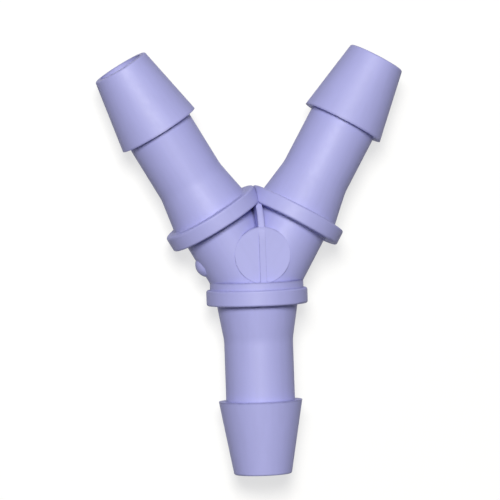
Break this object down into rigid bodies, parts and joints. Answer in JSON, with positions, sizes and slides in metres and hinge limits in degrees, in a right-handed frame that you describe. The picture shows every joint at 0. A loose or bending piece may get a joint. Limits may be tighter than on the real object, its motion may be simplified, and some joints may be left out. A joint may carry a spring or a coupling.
{
  "type": "tubing y connector",
  "caption": "Moulded plastic Y connector with a barbed stem and barbed branches, which joins or splits lines of flexible tubing; each arm has a collar that the tube stops at.",
  "frame": {"origin": "centre of the stem's open mouth", "axes": "+Y along the stem from its mouth to the hub, +X towards the right branch, +Z square to the plane of the Y and up as it lies at rest"},
  "size_m": [0.0442, 0.0606, 0.0144],
  "materials": {
    "moulding": "satin, as moulded"
  },
  "bodies": {
    "root": {"y_connector": "moulding"}
  },
  "joints": []
}
